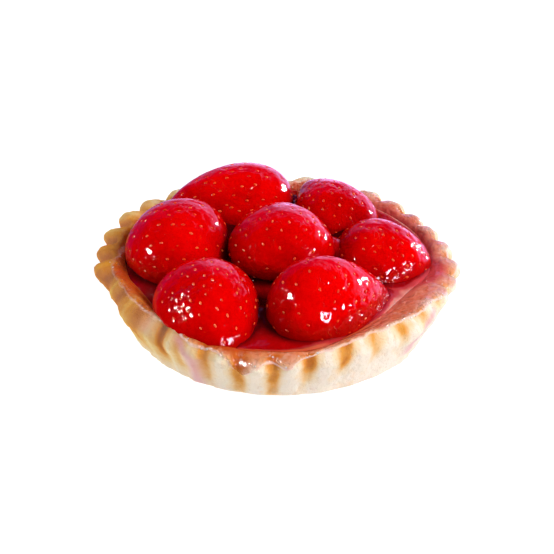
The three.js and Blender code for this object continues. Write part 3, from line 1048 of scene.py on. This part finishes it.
# azimuth (0 is the camera's side, 90 the right) and elevation in degrees, distance, size, power and colour
lamps = {
    "key_soft": (66, 46, 0.9, 0.45, 8.0, (1, 0.97, 0.93)),
    "fill_soft": (-40, 65, 1.0, 0.8, 2.5, (0.95, 0.97, 1)),
    "edge_left": (-105, 14, 0.8, 0.4, 2.2, (1, 0.97, 0.9)),
    "sparkle_left": (-76, 22, 0.8, 0.1, 13.0, (1, 1, 1)),
    "sparkle_right": (126, 8, 0.8, 0.09, 5.0, (1, 1, 1)),
    "glitter_right": (72, 2, 0.8, 0.08, 1.6, (0.95, 0.85, 1)),
    "window_front": (38, 4, 0.7, 0.2, 4.5, (0.85, 0.8, 1)),
}
lightingLamps = ("key_soft", "fill_soft", "edge_left")  # the others only show in the glaze

room = {
    "dark": (0.006, 0.003, 0.006, 1),
    "sky": (0.08, 0.01, 0.15, 1),
    "window": (1.6, 1.0, 2.0, 1),
    "bar": (0.08, 0.1, 0.13, 0.15),  # heights of its two soft edges
    "narrowPane": (0.58, 0.61, 0.63, 0.66),
}


def buildTable():
    bm = bmesh.new()
    bmesh.ops.create_grid(bm, x_segments=1, y_segments=1, size=studio["tableSize"])
    mesh = meshFrom(bm, "table")
    f = Finish("white_table")
    # it glows a little, so that it stays white all over
    mesh.materials.append(f.surface({
        "Base Color": (0.3, 0.3, 0.3, 1), "Roughness": 0.9, "Specular IOR Level": 0.0,
        "Emission Color": (1, 1, 1, 1), "Emission Strength": studio["tableGlow"]}))
    table = bpy.data.objects.new("table", mesh)
    table.visible_glossy = False
    scene.collection.objects.link(table)


def placeCamera():
    s = studio
    camera = bpy.data.objects.new("camera", bpy.data.cameras.new("camera"))
    scene.collection.objects.link(camera)
    elevation = math.radians(s["cameraElevation"])
    camera.location = Vector((0, -math.cos(elevation), math.sin(elevation))) * s["cameraDistance"] * mm
    forward = Vector(s["aim"]) * mm - camera.location
    level = forward.to_track_quat("-Z", "Y").to_matrix().to_4x4()
    camera.rotation_euler = (level @ Matrix.Rotation(math.radians(s["roll"]), 4, "Z")).to_euler()
    camera.data.sensor_width = s["sensor"]
    camera.data.lens = s["sensor"] / s["fieldWidth"]
    camera.data.clip_start = 0.01
    scene.camera = camera


def addLamp(name, azimuth, elevation, distance, size, power, shade):
    data = bpy.data.lights.new(name, "AREA")
    data.shape = "DISK"
    data.size = size
    data.energy = power
    data.color = shade
    lamp = bpy.data.objects.new(name, data)
    a, e = math.radians(azimuth), math.radians(elevation)
    towards = Vector((math.sin(a) * math.cos(e), -math.cos(a) * math.cos(e), math.sin(e)))
    tartMiddle = Vector((0, 0, 0.02))
    lamp.location = towards * distance + tartMiddle
    lamp.rotation_euler = towards.to_track_quat("Z", "Y").to_euler()
    lamp.visible_diffuse = name in lightingLamps
    lamp.visible_glossy = not lamp.visible_diffuse
    scene.collection.objects.link(lamp)


def lightScene():
    for name, settings in lamps.items():
        addLamp(name, *settings)
    world = bpy.data.worlds.new("room")
    world.use_nodes = True
    scene.world = world
    f = Finish("room", world.node_tree)
    aside, behind, up = f.axes(f.generated)
    # a lavender window across the back with a bar in it, another narrow one over it, and a violet sky
    pane = (1 - f.step(up, -0.1, 0.45) * 0.6) * (1 - f.step(up, 0.32, 0.4))
    pane = pane * (1 - 0.7 * f.band(up, *room["bar"])) + f.band(up, *room["narrowPane"]) * 0.6
    facing = f.step(behind + aside * 0.45, 0.55, 0.85) * (1 - f.step(aside, 0.05, -0.2) * 0.75)
    sky = f.step(behind, 0.3, 0.8) * (1 - f.step(up, 0.6, 0.85))
    shade = f.mix(facing * pane, f.mix(sky, room["dark"], room["sky"]), room["window"])
    # it shows in the glaze only
    inGlaze = f.node("ShaderNodeLightPath").outputs["Is Glossy Ray"]
    background = f.node("ShaderNodeBackground", inputs={"Color": shade, "Strength": inGlaze})
    f.node("ShaderNodeOutputWorld", inputs={"Surface": background.outputs[0]})


buildCrust(crustFinish())
buildJelly(jellyFinish())
flesh, seeds, teardrop = fleshFinish(), seedFinish(), seedShape()
done = []
for name, berry in berries.items():
    buildBerry(name, berry, done, flesh, seeds, teardrop)
    done.append(berry)
bpy.data.meshes.remove(teardrop)
buildTable()
placeCamera()
lightScene()
scene.view_settings.view_transform = "Standard"
print("studio:", len(lamps), "lamps")
